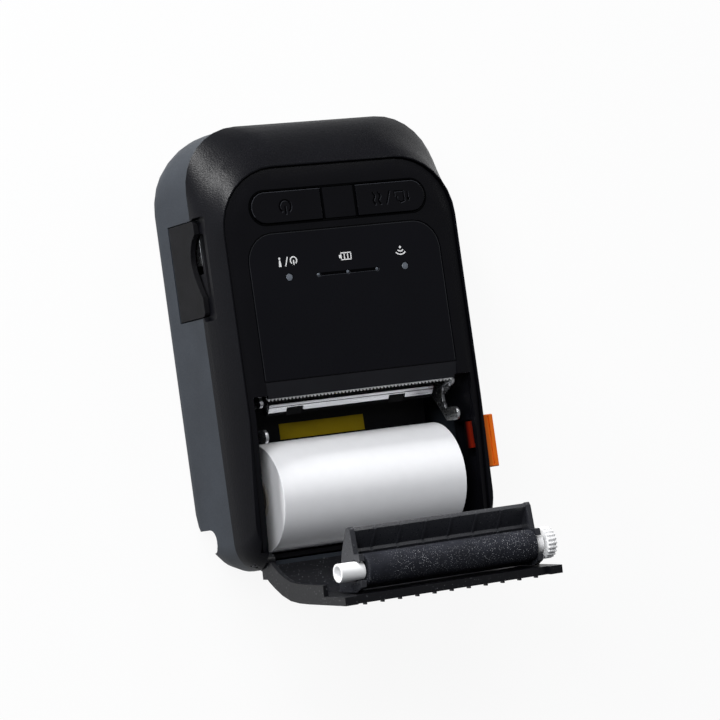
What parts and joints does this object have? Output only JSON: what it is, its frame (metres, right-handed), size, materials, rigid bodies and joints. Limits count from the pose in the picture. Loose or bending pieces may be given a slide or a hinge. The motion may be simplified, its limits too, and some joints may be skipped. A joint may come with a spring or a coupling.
{
  "type": "mobile printer",
  "caption": "Hand-held thermal receipt printer with hinged paper door, platen, print head, paper roll, keys, port flap and battery.",
  "frame": {"origin": "centre of the flat back on which the printer lies", "axes": "+X to the printer's right, +Y to its top end, +Z out of its front"},
  "size_m": [0.0816, 0.1327, 0.0684],
  "materials": {
    "shell_black": "fine textured moulded plastic",
    "shell_grey": "fine textured moulded plastic",
    "panel_film": "satin overlay",
    "door_black": "satin moulded plastic",
    "bay_black": "matt moulded plastic",
    "light_pipe": "smoked clear plastic",
    "paper": "smooth paper",
    "core_board": "wound cardboard",
    "platen_rubber": "ground rubber",
    "white_plastic": "smooth acetal",
    "steel": "brushed sheet and turned steel",
    "head_metal": "bright aluminium and glazed ceramic",
    "orange_plastic": "satin moulded plastic",
    "patch_yellow": "plain film",
    "board_green": "lacquered circuit board",
    "component_black": "moulded component",
    "flap_rubber": "soft rubber",
    "battery_black": "moulded pack"
  },
  "bodies": {
    "shell": {"front_shell": "shell_black", "front_bezel": "shell_black", "button_bridge": "shell_black", "rear_shell": "shell_grey", "panel_overlay": "panel_film", "roll_bay": "bay_black", "roll_cheek_left": "bay_black", "roll_cheek_right": "bay_black", "head_bracket": "bay_black", "status_led_left": "light_pipe", "status_led_right": "light_pipe", "charge_light_pipe": "light_pipe", "hinge_pin_left": "steel", "hinge_pin_right": "steel", "feed_frame": "steel", "tear_blade": "steel", "feed_motor": "steel", "head_spring_left": "steel", "head_spring_right": "steel", "usb_socket": "steel", "radio_module": "steel", "rear_screw_1": "steel", "rear_screw_2": "steel", "rear_screw_3": "steel", "rear_screw_4": "steel", "print_head": "head_metal", "head_sink": "head_metal", "label_patch": "patch_yellow", "main_board": "board_green", "io_board": "board_green", "control_chip": "component_black", "board_link": "component_black", "dc_jack": "component_black", "power_switch": "component_black", "feed_switch": "component_black", "battery_pack": "battery_black"},
    "door": {"door_cover": "door_black", "paper_guide": "door_black", "platen_bush_left": "white_plastic", "platen_bush_right": "white_plastic"},
    "platen": {"platen_rubber": "platen_rubber", "platen_gear": "white_plastic", "platen_shaft": "steel"},
    "roll": {"paper_roll": "paper", "roll_core": "core_board"},
    "power_key": {"power_button": "shell_black"},
    "feed_key": {"feed_button": "shell_black"},
    "lever": {"release_lever": "orange_plastic"},
    "flap": {"port_flap": "flap_rubber"},
    "pinion": {"motor_pinion": "white_plastic"},
    "idler": {"idler_gear": "white_plastic"},
    "battery_door": {"battery_cover": "shell_grey"}
  },
  "joints": [
    {"name": "door_hinge", "type": "hinge", "parent": "shell", "child": "door", "pos_m": [0, -0.0581, 0.0255], "axis": [-1, 0, 0], "range_deg": [0, 94]},
    {"name": "platen_spin", "type": "hinge", "parent": "door", "child": "platen", "pos_m": [0, -0.06325, 0.06333], "axis": [1, 0, 0], "continuous": true},
    {"name": "roll_spin", "type": "hinge", "parent": "shell", "child": "roll", "pos_m": [0, -0.0411, 0.0193], "axis": [1, 0, 0], "continuous": true},
    {"name": "power_press", "type": "slide", "parent": "shell", "child": "power_key", "axis": [0, 0, -1], "range_m": [0, 0.0006], "stiffness_N_per_m": 1500},
    {"name": "feed_press", "type": "slide", "parent": "shell", "child": "feed_key", "axis": [0, 0, -1], "range_m": [0, 0.0006], "stiffness_N_per_m": 1500},
    {"name": "lever_slide", "type": "slide", "parent": "shell", "child": "lever", "axis": [0, -1, 0], "range_m": [0, 0.002], "stiffness_N_per_m": 400},
    {"name": "flap_hinge", "type": "hinge", "parent": "shell", "child": "flap", "pos_m": [-0.03885, 0.0225, 0.00975], "axis": [0, -1, 0], "range_deg": [0, 105]},
    {"name": "pinion_spin", "type": "hinge", "parent": "shell", "child": "pinion", "pos_m": [0.031, -0.0065, 0.0145], "axis": [1, 0, 0], "continuous": true},
    {"name": "idler_spin", "type": "hinge", "parent": "shell", "child": "idler", "pos_m": [0.031, -0.013, 0.0205], "axis": [1, 0, 0], "continuous": true},
    {"name": "battery_door_hinge", "type": "hinge", "parent": "shell", "child": "battery_door", "pos_m": [0, 0.0035, 0.0013], "axis": [-1, 0, 0], "range_deg": [0, 100]}
  ],
  "couplings": [
    {"joint": "pinion_spin", "follows": "idler_spin", "ratio": -2.3333}
  ]
}
